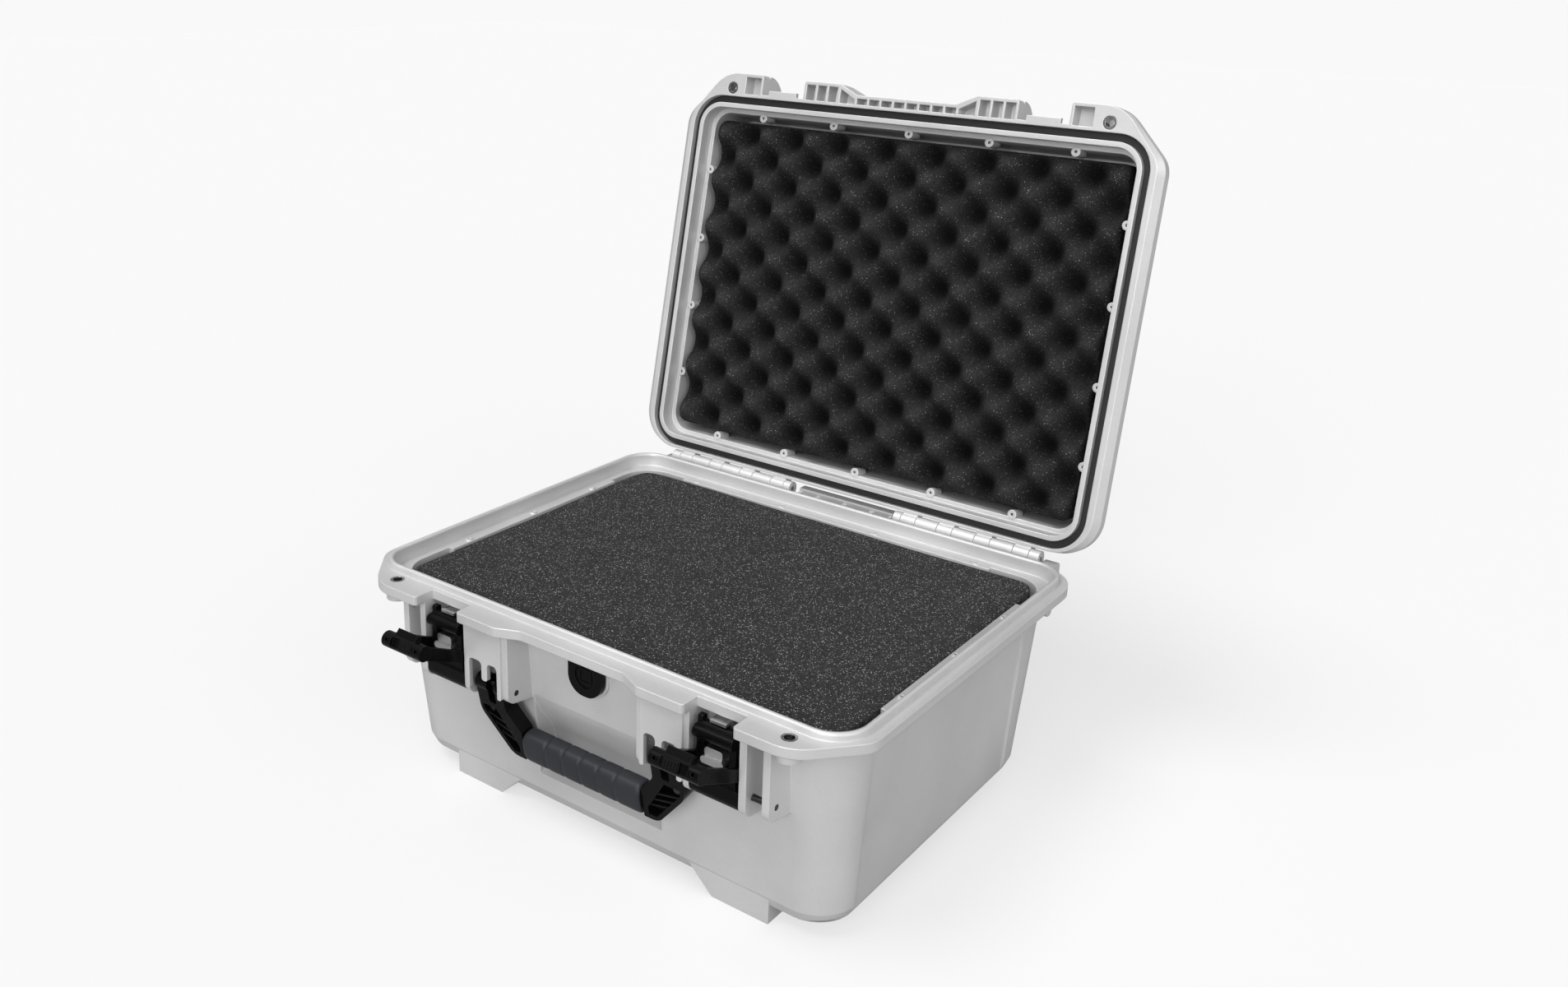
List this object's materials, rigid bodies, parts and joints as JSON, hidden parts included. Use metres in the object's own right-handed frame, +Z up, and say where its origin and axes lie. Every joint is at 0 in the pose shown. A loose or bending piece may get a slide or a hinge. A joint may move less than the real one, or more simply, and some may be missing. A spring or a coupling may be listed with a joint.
{
  "type": "hard case",
  "caption": "Moulded hard carrying case with a hinged lid, draw latches, padlock eyes, a folding front handle, a purge valve and foam in base and lid",
  "frame": {"origin": "on the floor, under the middle of the box round the whole case with its lid open", "axes": "X runs along the hinge to the right seen from the front, Y from the front handle to the hinge, Z up"},
  "size_m": [0.5, 0.5584, 0.5707],
  "materials": {
    "shell_plastic": "fine moulded texture",
    "black_plastic": "satin",
    "grip_rubber": "soft matte",
    "gasket_rubber": "matte",
    "steel": "satin",
    "dark_steel": "black oxide",
    "zinc": "cast satin",
    "base_foam": "open-cell foam",
    "lid_foam": "open-cell egg-crate foam"
  },
  "bodies": {
    "base": {"base_shell": "shell_plastic", "base_foam": "base_foam", "base_foam_pad": "base_foam", "padlock_eyelets_base": "steel", "hinge_pin_left": "steel", "hinge_pin_right": "steel", "latch_pin_left": "dark_steel", "latch_pin_right": "dark_steel", "handle_pins": "dark_steel", "hinge_centre_rails": "shell_plastic", "hinge_cheeks": "shell_plastic", "valve_seal": "gasket_rubber", "valve_body": "black_plastic", "valve_vent": "black_plastic", "valve_nut": "steel"},
    "lid": {"lid_shell": "shell_plastic", "lid_gasket": "gasket_rubber", "lid_foam": "lid_foam", "padlock_eyelets_lid": "steel"},
    "handle": {"handle_frame": "black_plastic", "handle_grip": "grip_rubber", "handle_screws": "dark_steel"},
    "left_lever": {"latch_lever_left": "black_plastic", "latch_plate_left": "zinc", "latch_joint_pins_left": "steel"},
    "left_bail": {"latch_bail_left": "black_plastic"},
    "left_lock": {"latch_lock_left": "black_plastic"},
    "right_lever": {"latch_lever_right": "black_plastic", "latch_plate_right": "zinc", "latch_joint_pins_right": "steel"},
    "right_bail": {"latch_bail_right": "black_plastic"},
    "right_lock": {"latch_lock_right": "black_plastic"}
  },
  "joints": [
    {"name": "lid_hinge", "type": "hinge", "parent": "base", "child": "lid", "pos_m": [0, 0.15, 0.186], "axis": [1, 0, 0], "range_deg": [0, 101.7]},
    {"name": "handle_fold", "type": "hinge", "parent": "base", "child": "handle", "pos_m": [0, -0.223, 0.122], "axis": [-1, 0, 0], "range_deg": [0, 105]},
    {"name": "left_lever_lean", "type": "hinge", "parent": "base", "child": "left_lever", "pos_m": [-0.13675, -0.223, 0.122], "axis": [1, 0, 0], "range_deg": [0, 45]},
    {"name": "left_bail_swing", "type": "hinge", "parent": "left_lever", "child": "left_bail", "pos_m": [-0.13675, -0.2245, 0.137], "axis": [-1, 0, 0], "range_deg": [0, 53]},
    {"name": "left_lock_slide", "type": "slide", "parent": "left_bail", "child": "left_lock", "axis": [-1, 0, 0], "range_m": [0, 0.007]},
    {"name": "right_lever_lean", "type": "hinge", "parent": "base", "child": "right_lever", "pos_m": [0.13675, -0.223, 0.122], "axis": [1, 0, 0], "range_deg": [0, 45]},
    {"name": "right_bail_swing", "type": "hinge", "parent": "right_lever", "child": "right_bail", "pos_m": [0.13675, -0.2245, 0.137], "axis": [-1, 0, 0], "range_deg": [0, 53]},
    {"name": "right_lock_slide", "type": "slide", "parent": "right_bail", "child": "right_lock", "axis": [1, 0, 0], "range_m": [0, 0.007]}
  ]
}
